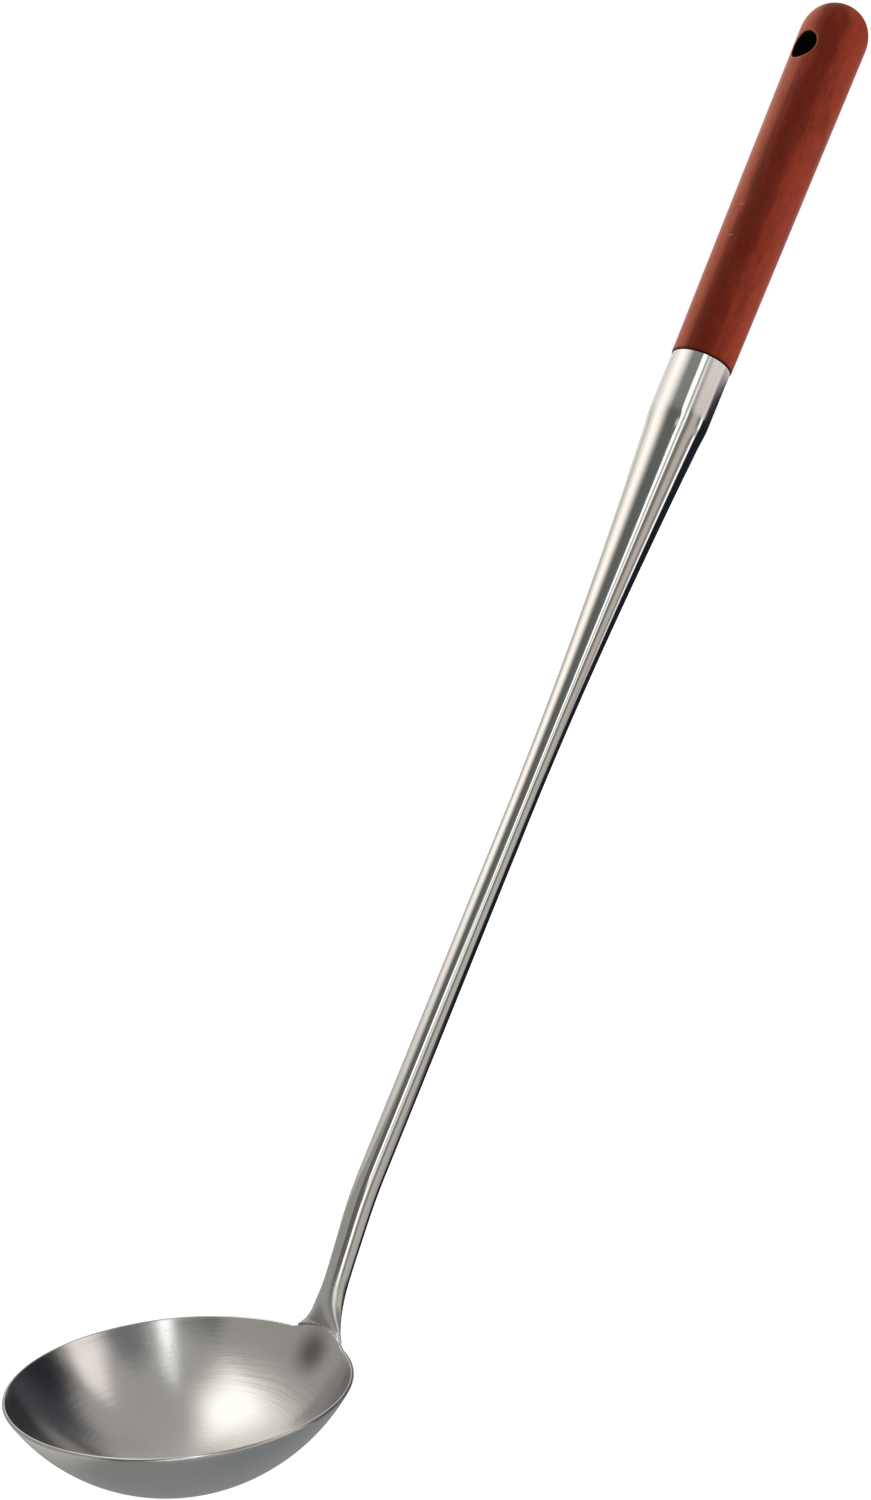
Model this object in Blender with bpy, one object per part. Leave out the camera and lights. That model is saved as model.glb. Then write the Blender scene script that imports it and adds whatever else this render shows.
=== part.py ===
"""Wok ladle: a pressed steel bowl, a swaged steel tube welded to its rim, and a turned wooden grip.

The bowl's rim lies level, the handle leaves it towards +X and leans in the XZ plane, and the ladle is
mirror-symmetric about that plane. While the pieces are drawn, the centre of the rim is the working origin.
"""

import math

import bmesh
import bpy
from mathutils import Matrix, Vector

MM = 0.001

# Bowl: a spherical cap of sheet steel
RIM_RADIUS = 56.0 * MM
BOWL_RADIUS = 64.7 * MM
SHEET = 1.2 * MM
RIM_BAND = 3.0 * MM

# Tongue: the rim rises in a low arch where the tube is welded on
TONGUE_HALF_WIDTH = 13.8 * MM
TONGUE_HEIGHT = 2.8 * MM
TONGUE_LEAN = 0.35

# Weld between the tongue and the foot of the tube
WELD_HEIGHT = 1.0 * MM
WELD_END_HEIGHT = 0.5 * MM
WELD_HALF_WIDTH = 12.9 * MM
WELD_HALF_THICKNESS = 1.75 * MM
WELD_END_HALF_THICKNESS = 0.75 * MM

# Axis of the tube in the XZ plane: a steep neck above the rim, a gentle bend, then the straight handle
FOOT_POINT_X = 56.2 * MM
FOOT_POINT_Z = 3.4 * MM
NECK_ANGLE = math.radians(65.5)
HANDLE_ANGLE = math.radians(58.5)
NECK_LENGTH = 44.0 * MM
BEND_RADIUS = 320.0 * MM
HANDLE_LENGTH = 318.0 * MM

# Tube: radii along the axis, named from the bend up to the wood
ROD_RADIUS = 4.55 * MM
CONE_TOP_RADIUS = 10.3 * MM
CONE_TOP_SLOPE = 0.065
CONE_LENGTH = 148.0 * MM
SHOULDER_LENGTH = 9.0 * MM
SOCKET_RADIUS = 11.05 * MM
SOCKET_LENGTH = 22.0 * MM
SOCKET_EDGE = 0.25 * MM

# Foot: the tube is flattened and fans out towards the rim
FOOT_HALF_WIDTH = 14.1 * MM
FOOT_HALF_THICKNESS = 1.7 * MM
FAN_LENGTH = 40.0 * MM
FAN_POWER = 5
FLATTEN_LENGTH = 34.0 * MM
CURL_LENGTH = 20.0 * MM
BORE_END = 9.0 * MM

# Grip: turned wood, slightly fuller towards its domed end
GRIP_LENGTH = 149.3 * MM
GRIP_JOINT_RADIUS = 11.6 * MM
GRIP_END_RADIUS = 12.8 * MM
DOME_LENGTH = 13.6 * MM
DOME_POWER = 2.2
TENON_LENGTH = 24.0 * MM
EDGE_ROUND = 0.5 * MM
HOLE_RADIUS = 5.5 * MM
HOLE_FROM_END = 23.0 * MM
HOLE_MOUTH_RADIUS = 6.6 * MM
HOLE_MOUTH_DEPTH = 1.4 * MM

SEAT_GAP = 0.2 * MM
TENON_GAP = 0.3 * MM
MERGE = 0.001 * MM

# Facets: how many sides and sections each round form gets
BOWL_FINE_SECTOR = math.radians(36)
BOWL_FINE_STEPS = 18
BOWL_STEPS = 54
BOWL_ROWS = 11
LIP_STEPS = 4
TUBE_SIDES = 32
FOOT_SECTIONS = 8
FLATTEN_SECTIONS = 7
BEND_SECTIONS = 4
CONE_SECTIONS = 9
SHOULDER_SECTIONS = 4
ARCH_STEPS = 48
WELD_SECTIONS = 20
WELD_SIDES = 12
GRIP_SIDES = 48
EDGE_STEPS = 3
DOME_STEPS = 9
HOLE_SIDES = 36
SHARP_ANGLE = math.radians(35)


def clear_scene():
    for obj in list(bpy.data.objects):
        bpy.data.objects.remove(obj, do_unlink=True)


def make_material(name, colour, roughness, metallic):
    material = bpy.data.materials.new(name)
    material.use_nodes = True
    shader = material.node_tree.nodes["Principled BSDF"]
    shader.inputs["Base Color"].default_value = (*colour, 1.0)
    shader.inputs["Roughness"].default_value = roughness
    shader.inputs["Metallic"].default_value = metallic
    return material


def make_object(name, bm, parent, material=None):
    """Turn a bmesh into a smooth-shaded object under the ladle's empty."""
    bmesh.ops.remove_doubles(bm, verts=bm.verts, dist=MERGE)
    bmesh.ops.recalc_face_normals(bm, faces=bm.faces)
    mesh = bpy.data.meshes.new(name)
    bm.to_mesh(mesh)
    bm.free()
    mesh.shade_smooth()
    mesh.set_sharp_from_angle(angle=SHARP_ANGLE)
    obj = bpy.data.objects.new(name, mesh)
    bpy.context.collection.objects.link(obj)
    obj.parent = parent
    if material:
        mesh.materials.append(material)
    return obj


def cut(target, cutter):
    """Subtract a cutter that stays in the file as a wire guide."""
    cutter.hide_render = True
    cutter.display_type = "WIRE"
    boolean = target.modifiers.new("Cut by " + cutter.name, "BOOLEAN")
    boolean.operation = "DIFFERENCE"
    boolean.object = cutter


def blend(start, end, start_slope, end_slope, length, t):
    """Cubic between two radii with given slopes at its ends; t runs from 0 to 1."""
    return (
        start * (2 * t**3 - 3 * t**2 + 1)
        + start_slope * length * (t**3 - 2 * t**2 + t)
        + end * (3 * t**2 - 2 * t**3)
        + end_slope * length * (t**3 - t**2)
    )


def steps(count):
    """Even fractions from 0 to 1, both ends included."""
    return [i / count for i in range(count + 1)]


def loft(rings):
    """Skin a closed tube through rings of points, and cap its two ends."""
    bm = bmesh.new()
    loops = [[bm.verts.new(point) for point in ring] for ring in rings]
    for lower, upper in zip(loops, loops[1:]):
        for i in range(len(lower)):
            bm.faces.new((lower[i - 1], lower[i], upper[i], upper[i - 1]))
    for end in (loops[0], loops[-1]):
        bm.faces.new(end)
    return bm


def revolve(profile, sides):
    """Spin a profile of (radius, height) points once round the Z axis."""
    bm = bmesh.new()
    verts = [bm.verts.new((radius, 0.0, height)) for radius, height in profile]
    edges = [bm.edges.new(pair) for pair in zip(verts, verts[1:])]
    bmesh.ops.spin(
        bm,
        geom=verts + edges,
        cent=(0, 0, 0),
        axis=(0, 0, 1),
        angle=math.tau,
        steps=sides,
        use_merge=True,
    )
    return bm


def arch(y):
    """Height of the tongue above the rim at a distance y from the symmetry plane."""
    return TONGUE_HEIGHT * max(0.0, 1 - (y / TONGUE_HALF_WIDTH) ** 2)


def wall_middle(y, z):
    """Distance of the middle of the tongue's wall from the YZ plane."""
    middle = RIM_RADIUS - SHEET / 2
    return math.sqrt(middle**2 - y**2) + TONGUE_LEAN * z


def bowl_arc(radius, rows):
    """Points of a spherical wall, from just below the rim band down to the pole."""
    centre = math.sqrt(BOWL_RADIUS**2 - RIM_RADIUS**2)
    first = math.acos((centre + RIM_BAND) / radius)
    angles = [first * (1 - t) for t in steps(rows)]
    return [(radius * math.sin(a), centre - radius * math.cos(a)) for a in angles]


def make_bowl(parent, material):
    """The cap's outer wall, round lip and inner wall are one profile; then the tongue is drawn up."""
    lip_middle = RIM_RADIUS - SHEET / 2
    lip_radius = SHEET / 2
    lip = [
        (lip_middle + lip_radius * math.cos(a), lip_radius * math.sin(a) - lip_radius)
        for a in (math.pi * t for t in steps(LIP_STEPS))
    ]
    inner = bowl_arc(BOWL_RADIUS - SHEET, BOWL_ROWS)
    outer = bowl_arc(BOWL_RADIUS, BOWL_ROWS)
    profile = outer[::-1] + lip + inner
    bm = bmesh.new()
    verts = [bm.verts.new((radius, 0.0, height)) for radius, height in profile]
    edges = [bm.edges.new(pair) for pair in zip(verts, verts[1:])]
    bmesh.ops.rotate(bm, verts=verts, matrix=Matrix.Rotation(-BOWL_FINE_SECTOR / 2, 3, "Z"))
    sectors = ((BOWL_FINE_SECTOR, BOWL_FINE_STEPS), (math.tau - BOWL_FINE_SECTOR, BOWL_STEPS))
    geometry = verts + edges
    for angle, count in sectors:
        spun = bmesh.ops.spin(
            bm, geom=geometry, cent=(0, 0, 0), axis=(0, 0, 1), angle=angle, steps=count
        )
        geometry = spun["geom_last"]
    lip_bottom = -SHEET / 2 - MERGE
    for vert in bm.verts:
        if vert.co.z > lip_bottom and vert.co.x > 0 and abs(vert.co.y) < TONGUE_HALF_WIDTH:
            rise = arch(vert.co.y)
            vert.co.x += TONGUE_LEAN * rise
            vert.co.z += rise
    return make_object("bowl", bm, parent, material)


def axis_frame(distance):
    """Point and slope of the tube's axis at a distance from the foot point, measured along the axis."""
    turn = NECK_ANGLE - HANDLE_ANGLE
    tangent = BEND_RADIUS * math.tan(turn / 2)
    neck = NECK_LENGTH - tangent
    arc = BEND_RADIUS * turn
    along = Vector((math.cos(NECK_ANGLE), 0, math.sin(NECK_ANGLE)))
    start = Vector((FOOT_POINT_X, 0, FOOT_POINT_Z))
    if distance <= neck:
        return start + along * distance, NECK_ANGLE
    centre = start + along * neck + Vector((along.z, 0, -along.x)) * BEND_RADIUS
    turned = min(turn, (distance - neck) / BEND_RADIUS)
    angle = NECK_ANGLE - turned
    point = centre + Vector((-math.sin(angle), 0, math.cos(angle))) * BEND_RADIUS
    beyond = max(0.0, distance - neck - arc)
    return point + Vector((math.cos(angle), 0, math.sin(angle))) * beyond, angle


def tube_end():
    """Distance along the axis from the foot point to the socket's mouth."""
    turn = NECK_ANGLE - HANDLE_ANGLE
    tangent = BEND_RADIUS * math.tan(turn / 2)
    return NECK_LENGTH + HANDLE_LENGTH - 2 * tangent + BEND_RADIUS * turn


def round_radius(distance):
    """Radius of the round part of the tube at a distance from the foot point."""
    socket = tube_end() - SOCKET_LENGTH
    shoulder = socket - SHOULDER_LENGTH
    cone = shoulder - CONE_LENGTH
    if distance >= socket:
        return SOCKET_RADIUS
    if distance >= shoulder:
        t = (distance - shoulder) / SHOULDER_LENGTH
        return blend(CONE_TOP_RADIUS, SOCKET_RADIUS, CONE_TOP_SLOPE, 0, SHOULDER_LENGTH, t)
    if distance >= cone:
        t = (distance - cone) / CONE_LENGTH
        return blend(ROD_RADIUS, CONE_TOP_RADIUS, 0, CONE_TOP_SLOPE, CONE_LENGTH, t)
    return ROD_RADIUS


def half_width(distance):
    """Half the tube's width along Y: the foot fans out towards the rim."""
    rim = -FOOT_POINT_Z / math.sin(NECK_ANGLE)
    left = max(0.0, 1 - (distance - rim) / FAN_LENGTH)
    return round_radius(distance) + (FOOT_HALF_WIDTH - ROD_RADIUS) * left**FAN_POWER


def half_thickness(distance):
    """Half the tube's thickness across the wall: the foot is pressed flat."""
    t = min(1.0, max(0.0, distance / FLATTEN_LENGTH))
    pressed = FOOT_HALF_THICKNESS - ROD_RADIUS
    return round_radius(distance) + pressed * (1 - math.sin(t * math.pi / 2))


def tube_ring(distance, inset=0.0):
    """One section of the tube. Near the rim it curls round the bowl, as the rim does."""
    point, angle = axis_frame(distance)
    out = Vector((math.sin(angle), 0, -math.cos(angle)))
    side = Vector((0, 1, 0))
    width = half_width(distance) - inset
    thickness = half_thickness(distance) - inset
    curl = min(1.0, max(0.0, 1 - distance / CURL_LENGTH)) ** 2
    ring = []
    for i in range(TUBE_SIDES):
        a = math.tau * i / TUBE_SIDES
        y = width * math.cos(a)
        follow = RIM_RADIUS - math.sqrt(RIM_RADIUS**2 - y**2)
        ring.append(point + side * y + out * (thickness * math.sin(a) - curl * follow))
    return ring


def tube_stations():
    """Distances of the sections, close together where the tube changes shape."""
    end = tube_end()
    socket = end - SOCKET_LENGTH
    shoulder = socket - SHOULDER_LENGTH
    cone = shoulder - CONE_LENGTH
    turn = NECK_ANGLE - HANDLE_ANGLE
    bend_start = NECK_LENGTH - BEND_RADIUS * math.tan(turn / 2)
    bend_end = bend_start + BEND_RADIUS * turn
    stretches = (
        (BORE_END, FLATTEN_LENGTH, FLATTEN_SECTIONS),
        (FLATTEN_LENGTH, bend_end, BEND_SECTIONS),
        (cone, shoulder, CONE_SECTIONS),
        (shoulder, socket, SHOULDER_SECTIONS),
    )
    stations = [a + (b - a) * t for a, b, count in stretches for t in steps(count)]
    return sorted(set(stations))


def make_shaft(parent, material):
    """A hollow tube, open at the socket and pressed shut at the foot, whose edge sits over the weld."""
    end = tube_end()
    lowest = -(FOOT_POINT_Z + RIM_BAND) / math.sin(NECK_ANGLE)
    stations = tube_stations()
    foot = [lowest + (BORE_END - lowest) * t for t in steps(FOOT_SECTIONS)][:-1]
    outside = [tube_ring(d) for d in foot + stations]
    mouth = [tube_ring(end - SOCKET_EDGE), tube_ring(end, SOCKET_EDGE), tube_ring(end, SHEET)]
    inside = [tube_ring(d, SHEET) for d in reversed(stations)]
    shaft = make_object("shaft", loft(outside + mouth + inside), parent, material)

    below = -2 * RIM_BAND
    reach = 2 * FOOT_HALF_WIDTH
    across = [reach * (2 * t - 1) for t in steps(ARCH_STEPS)]
    edge = [(y, arch(y) + weld_height(y) + 2 * SEAT_GAP) for y in across]
    outline = edge + [(reach, below), (-reach, below)]
    rings = [[Vector((x, y, z)) for y, z in outline] for x in (RIM_RADIUS - reach, RIM_RADIUS + reach)]
    cutter = make_object("foot_arch_cutter", loft(rings), parent)
    cut(shaft, cutter)
    return shaft


def weld_height(y):
    """Height of the weld at a distance y from the symmetry plane."""
    t = min(1.0, abs(y) / WELD_HALF_WIDTH)
    return WELD_HEIGHT + (WELD_END_HEIGHT - WELD_HEIGHT) * t**2


def make_weld(parent, material):
    """A bar of weld metal along the tongue's edge, as thick as the foot above it."""
    rings = []
    for t in steps(WELD_SECTIONS):
        y = WELD_HALF_WIDTH * (2 * t - 1)
        height = weld_height(y)
        middle = arch(y) + SEAT_GAP + height / 2
        x = wall_middle(y, middle)
        u = abs(y) / WELD_HALF_WIDTH
        thick = WELD_HALF_THICKNESS + (WELD_END_HALF_THICKNESS - WELD_HALF_THICKNESS) * u**2
        ring = []
        for i in range(WELD_SIDES):
            a = math.tau * (i + 0.5) / WELD_SIDES
            run = math.copysign(math.sqrt(abs(math.cos(a))), math.cos(a))
            rise = math.copysign(math.sqrt(abs(math.sin(a))), math.sin(a))
            ring.append(Vector((x + thick * run, y, middle + height / 2 * rise)))
        rings.append(ring)
    return make_object("weld_seam", loft(rings), parent, material)


def grip_profile():
    """Radius and height of the grip from its tenon to its domed end; height 0 is the socket's mouth."""
    tenon = SOCKET_RADIUS - SHEET - TENON_GAP
    seat = SEAT_GAP
    body_end = GRIP_LENGTH - DOME_LENGTH
    profile = [
        (0.0, -TENON_LENGTH),
        (tenon - EDGE_ROUND, -TENON_LENGTH),
        (tenon, EDGE_ROUND - TENON_LENGTH),
        (tenon, seat),
    ]
    for t in steps(EDGE_STEPS):
        a = t * math.pi / 2
        radius = GRIP_JOINT_RADIUS - EDGE_ROUND * (1 - math.sin(a))
        profile.append((radius, seat + EDGE_ROUND * (1 - math.cos(a))))
    below_hole = GRIP_LENGTH - HOLE_FROM_END - 2 * HOLE_RADIUS
    taper = (GRIP_END_RADIUS - GRIP_JOINT_RADIUS) / (body_end - EDGE_ROUND)
    profile.append((GRIP_JOINT_RADIUS + taper * (below_hole - EDGE_ROUND), below_hole))
    for t in steps(DOME_STEPS):
        a = t * math.pi / 2
        radius = GRIP_END_RADIUS * math.cos(a) ** (2 / DOME_POWER)
        profile.append((radius, body_end + DOME_LENGTH * math.sin(a) ** (2 / DOME_POWER)))
    profile[-1] = (0.0, GRIP_LENGTH)
    return profile


def make_grip(parent, material):
    """Turned about its own axis, then laid along the handle, with a hanging hole from front to back."""
    point, angle = axis_frame(tube_end())
    placed = Matrix.Translation(point) @ Matrix.Rotation(math.pi / 2 - angle, 4, "Y")
    grip = make_object("grip", revolve(grip_profile(), GRIP_SIDES), parent, material)
    grip.matrix_local = placed

    reach = 2 * GRIP_END_RADIUS
    mouth = GRIP_END_RADIUS
    throat = GRIP_END_RADIUS - HOLE_MOUTH_DEPTH
    half = [(HOLE_MOUTH_RADIUS, reach), (HOLE_MOUTH_RADIUS, mouth), (HOLE_RADIUS, throat)]
    mirrored = [(radius, -height) for radius, height in reversed(half)]
    profile = [(0.0, reach)] + half + mirrored + [(0.0, -reach)]
    cutter = make_object("hanging_hole_cutter", revolve(profile, HOLE_SIDES), parent)
    along_hole = Matrix.Translation((0, 0, GRIP_LENGTH - HOLE_FROM_END))
    cutter.matrix_local = placed @ along_hole @ Matrix.Rotation(math.pi / 2, 4, "Y")
    cut(grip, cutter)
    return grip


def stand_on_origin(root, pieces):
    """Move the ladle so that its box stands on the origin, centred over it."""
    bpy.context.view_layer.update()
    depsgraph = bpy.context.evaluated_depsgraph_get()
    corners = []
    for piece in pieces:
        solid = piece.evaluated_get(depsgraph)
        mesh = solid.to_mesh()
        corners += [solid.matrix_world @ vert.co for vert in mesh.vertices]
        solid.to_mesh_clear()
    x = [corner.x for corner in corners]
    z = [corner.z for corner in corners]
    root.location = (-(min(x) + max(x)) / 2, 0, -min(z))
    bpy.context.view_layer.update()


def main():
    clear_scene()
    root = bpy.data.objects.new("ladle", None)
    bpy.context.collection.objects.link(root)
    satin = make_material("satin_steel", (0.52, 0.51, 0.48), 0.34, 1.0)
    polished = make_material("polished_steel", (0.62, 0.61, 0.58), 0.16, 1.0)
    ground = make_material("ground_weld", (0.66, 0.65, 0.64), 0.42, 1.0)
    wood = make_material("lacquered_wood", (0.20, 0.035, 0.016), 0.36, 0.0)
    pieces = [
        make_bowl(root, satin),
        make_shaft(root, polished),
        make_weld(root, ground),
        make_grip(root, wood),
    ]
    stand_on_origin(root, pieces)


main()
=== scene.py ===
"""Looks of a wok ladle: satin bowl, polished tube, ground weld and lacquered grip on a pale stage."""

import math
from typing import NamedTuple

import bmesh
import bpy
from bpy.props import FloatProperty, FloatVectorProperty, PointerProperty
from mathutils import Matrix, Vector, noise


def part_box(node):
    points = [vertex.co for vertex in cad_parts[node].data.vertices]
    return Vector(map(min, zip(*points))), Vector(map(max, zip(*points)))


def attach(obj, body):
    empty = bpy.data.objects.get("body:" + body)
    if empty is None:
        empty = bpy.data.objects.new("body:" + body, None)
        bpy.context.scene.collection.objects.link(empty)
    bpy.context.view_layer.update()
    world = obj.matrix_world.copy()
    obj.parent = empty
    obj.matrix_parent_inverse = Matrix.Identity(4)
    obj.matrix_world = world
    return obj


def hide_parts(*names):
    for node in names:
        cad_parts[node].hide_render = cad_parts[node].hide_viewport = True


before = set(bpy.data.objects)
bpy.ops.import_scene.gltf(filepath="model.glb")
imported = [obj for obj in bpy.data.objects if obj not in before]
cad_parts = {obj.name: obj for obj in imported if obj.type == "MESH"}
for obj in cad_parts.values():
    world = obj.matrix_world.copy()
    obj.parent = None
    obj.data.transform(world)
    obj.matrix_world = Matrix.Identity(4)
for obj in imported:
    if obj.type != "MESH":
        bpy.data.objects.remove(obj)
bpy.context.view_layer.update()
BOWL_LOW, BOWL_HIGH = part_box("bowl")

bl_info = {
    "name": "Wok Ladle",
    "version": (1, 0, 0),
    "blender": (4, 5, 0),
    "location": "3D View > Sidebar > Ladle",
    "description": "Builds the visible pieces of a wok ladle and the stage it stands on",
    "category": "Object",
}

MM = 0.001

# How finely the round forms are cut
BOWL_STEPS = 240
BOWL_ROWS = 48
LIP_STEPS = 12
TUBE_SIDES = 72
FOOT_SECTIONS = 24
NECK_ROWS = 40
ROD_ROWS = 40
CONE_ROWS = 48
SHOULDER_ROWS = 10
SOCKET_ROWS = 12
FOOT_EDGE_ROUNDS = 8
WELD_SIDES = 20
WELD_SECTIONS = 80
GRIP_SIDES = 144
GRIP_ROWS = 90
DOME_ROWS = 40
HOLE_SIDES = 72
EDGE_STEPS = 6
MERGE_DISTANCE = 0.001 * MM
SHARP_ANGLE = math.radians(40)

# Sizes of the marks that grinding left in the weld, and how strong each is
WELD_MARKS = ((1.1 * MM, 1.0), (0.45 * MM, 0.5))

# Waves of a texture in each metre: one number, or across, across and along the lines or the grain
BOWL_LINES = 2200.0
SHAFT_LINES = (2400.0, 2400.0, 14.0)
SCRATCH_LINES = (2600.0, 2600.0, 110.0)
HAZE = 45.0
SCRATCHED_PATCHES = 30.0
WELD_GRIT = 1800.0
GLINT_WAVES = 1300.0
WOOD_FIGURE = (120.0, 120.0, 26.0)
WOOD_MOTTLE = (260.0, 260.0, 110.0)
WOOD_FIBRES = (1700.0, 1700.0, 90.0)
WOOD_PORES = (2600.0, 2600.0, 260.0)

# Least and most wear, and the roughness and shade that they give the finishes
WEAR = (0.45, 1.05)
SATIN_ROUGHNESS = (0.16, 0.24)
SATIN_SHADE = (0.93, 1.0)
POLISHED_ROUGHNESS = (0.06, 0.11)
POLISHED_SHADE = (0.95, 1.0)
LACQUER_ROUGHNESS = (0.32, 0.44)

# Depth of the fine relief in each finish
BOWL_RELIEF = 0.02 * MM
SHAFT_RELIEF = 0.0015 * MM
WELD_RELIEF = 0.12 * MM
WOOD_RELIEF = 0.012 * MM

# Where shade is painted inside the bowl below the foot, from the rim's centre, how far it reaches, and the
# colour of the painted shade
FOOT_SHADE_PLACE = (50.8 * MM, 0.9 * MM, -4.2 * MM)
FOOT_SHADE_REACH = (1.0 * MM, 11.5 * MM)
FOOT_SHADE_COLOUR = (0.21, 0.205, 0.185)

# Middle of the small marks inside the bowl, from the rim's centre, and how far they go
WORN_PLACE = (25.0 * MM, 41.5 * MM, -8.0 * MM)
WORN_REACH = (8.0 * MM, 30.0 * MM)

# The brushed lines go a long way round the bowl, the dashes a short way
LINE_TURNS = (5.0, 5.0, 0.0)
DASH_TURNS = (14.0, 14.0, 0.0)
DASH_CLIMB = 0.9
DASH_RANGE = (0.72, 0.82)
DASH_ROUGHNESS = 0.07
DASH_HEIGHT = 0.6

# The ground foot: how far up it goes, and the roughness that it adds
GROUND_REACH = (4.0 * MM, 32.0 * MM)
GROUND_ROUGHNESS = 0.24

# Painted glints: bright white spots on the weld, which also lie on the lowest edge of the foot
PAINTED_GLINT_COLOUR = (0.97, 0.97, 0.98)
GLINTS_ON_WELD = (0.50, 0.60)
GLINTS_ON_FOOT = (0.54, 0.62)
FOOT_GLINT_HEIGHTS = (BOWL_HIGH.z + 0.5 * MM, BOWL_HIGH.z + 1.7 * MM)

# Wood where lacquer is rubbed off; a dark stain in the pores, also used as painted shade in the joint; and
# painted shade in the drilled hole
BARE_WOOD = (0.55, 0.22, 0.12)
PORE_STAIN_AND_JOINT_SHADE = (0.04, 0.007, 0.004)
PAINTED_HOLE_SHADE = (0.006, 0.004, 0.004)

# Side of the grip that painted shade darkens along its length, across the axis of the grip
PAINTED_SHADE_SIDE = (-0.80, -0.60, 0.0)

# Side where painted light makes the wood paler, and the colour of that painted light
PAINTED_LIGHT_SIDE = (-0.906, 0.423, 0.0)
PAINTED_LIGHT_COLOUR = (0.58, 0.125, 0.06)

# Nicks in the lacquer, along the axes of the grip from the socket's mouth, and their shape and reach
NICKS = ((-11.7 * MM, -2.4 * MM, 46.1 * MM), (-12.0 * MM, -1.8 * MM, 58.9 * MM))
NICK_SHAPE = (1.0, 0.45, 1.6)
NICK_REACH = (0.35 * MM, 0.8 * MM)

# Heights above the socket's mouth over which the painted shade of the joint fades
JOINT_SHADE_HEIGHTS = (0.4 * MM, 0.8 * MM)


# Settings that a user may change


def length(label, description, default):
    return FloatProperty(
        name=label, description=description, default=default, subtype="DISTANCE", unit="LENGTH", precision=5
    )


def angle(label, description, degrees):
    return FloatProperty(
        name=label, description=description, default=math.radians(degrees), subtype="ANGLE", unit="ROTATION"
    )


def number(label, description, default):
    return FloatProperty(name=label, description=description, default=default)


def share(label, description, default):
    return FloatProperty(name=label, description=description, default=default, subtype="FACTOR")


def colour(label, description, default):
    return FloatVectorProperty(
        name=label, description=description, default=default, subtype="COLOR", min=0.0, max=1.0
    )


class BowlSettings(bpy.types.PropertyGroup):
    """The pressed bowl and the tongue that its rim rises into"""

    rim_radius: length("Rim radius", "Outer radius of the rim", (BOWL_HIGH.y - BOWL_LOW.y) / 2)
    sheet: length("Sheet", "Thickness of the steel sheet", 1.2 * MM)
    tongue_half_width: length("Tongue half width", "Half the width of the raised tongue", 13.8 * MM)
    tongue_height: length("Tongue height", "How far the tongue rises above the rim", 2.8 * MM)
    tongue_lean: share("Tongue lean", "How far the tongue leans out for each unit that it rises", 0.35)
    tongue_blend: length("Tongue blend", "Depth below the rim where the rise begins", 5.0 * MM)
    steel: colour("Steel", "Colour of the satin steel", (0.60, 0.595, 0.575))


class ShaftSettings(bpy.types.PropertyGroup):
    """The swaged tube, from the fanned foot on the rim up to the socket"""

    foot_x: length("Foot point X", "Foot of the axis, from the rim's centre", 55.78 * MM)
    foot_z: length("Foot point Z", "Height of the foot of the axis above the rim", 3.4 * MM)
    neck_angle: angle("Neck angle", "Slope of the neck above the rim's plane", 65.0)
    handle_angle: angle("Handle angle", "Slope of the straight handle", 58.5)
    neck_length: length("Neck length", "From the foot point to the corner of the bend", 44.18 * MM)
    bend_radius: length("Bend radius", "Radius of the gentle bend", 150.0 * MM)
    handle_length: length("Handle length", "From the corner of the bend to the wood", 318.0 * MM)
    neck_radius: length("Neck radius", "Radius of the waist above the foot", 4.2 * MM)
    neck_start: length("Neck start", "Where the waist begins to grow into the rod", 18.0 * MM)
    neck_end: length("Neck end", "Where the waist has grown into the rod", 44.0 * MM)
    rod_radius: length("Rod radius", "Radius of the slim part", 4.55 * MM)
    cone_top_radius: length("Cone top radius", "Radius where the cone ends", 10.3 * MM)
    cone_top_slope: share("Cone top slope", "Growth of the radius at the cone's top", 0.065)
    cone_length: length("Cone length", "Length of the cone", 148.0 * MM)
    shoulder_length: length("Shoulder length", "Soft turn from the cone to the socket", 9.0 * MM)
    socket_radius: length("Socket radius", "Radius of the socket", 11.05 * MM)
    socket_length: length("Socket length", "Length of the socket", 22.0 * MM)
    socket_edge: length("Socket edge", "Rounding of the socket's mouth", 0.25 * MM)
    wall: length("Wall", "Thickness of the tube's wall", 1.2 * MM)
    foot_half_width: length("Foot half width", "Half the width of the fanned foot at the rim", 13.3 * MM)
    foot_half_thickness: length("Foot half thickness", "Half the thickness of the foot", 2.3 * MM)
    foot_set_back: share("Foot set back", "Share of the flattening that comes off the front", 0.5)
    fan_length: length("Fan length", "Length over which the foot fans out", 22.0 * MM)
    fan_power: number("Fan power", "How late the fan opens", 2.5)
    flatten_length: length("Flatten length", "Length over which the tube is pressed flat", 9.0 * MM)
    curl_length: length("Curl length", "Length over which the foot curls round the rim", 20.0 * MM)
    bore_end: length("Bore end", "Where the bore is pressed shut", 9.0 * MM)
    steel: colour("Steel", "Colour of the polished steel", (0.62, 0.61, 0.59))


class WeldSettings(bpy.types.PropertyGroup):
    """The ground weld between the tongue and the foot"""

    height: length("Height", "Height of the seam in the middle", 0.6 * MM)
    end_height: length("End height", "Height of the seam at its ends", 0.35 * MM)
    half_width: length("Half width", "Half the length of the seam across the rim", 12.1 * MM)
    half_thickness: length("Half thickness", "Half the thickness under the middle of the foot", 2.6 * MM)
    set_back: length("Set back", "How far the middle of the seam lies outside the tongue", 0.05 * MM)
    end_half_thickness: length("End half thickness", "Half the thickness at the ends", 0.66 * MM)
    root: length("Root", "Half the thickness on the tongue", 0.68 * MM)
    seat_gap: length("Seat gap", "Gap between the solids on each side of the seam", 0.2 * MM)
    ripple: length("Ripple", "Depth of the marks that grinding left", 0.07 * MM)
    steel: colour("Steel", "Colour of the weld", (0.80, 0.79, 0.78))


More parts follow.
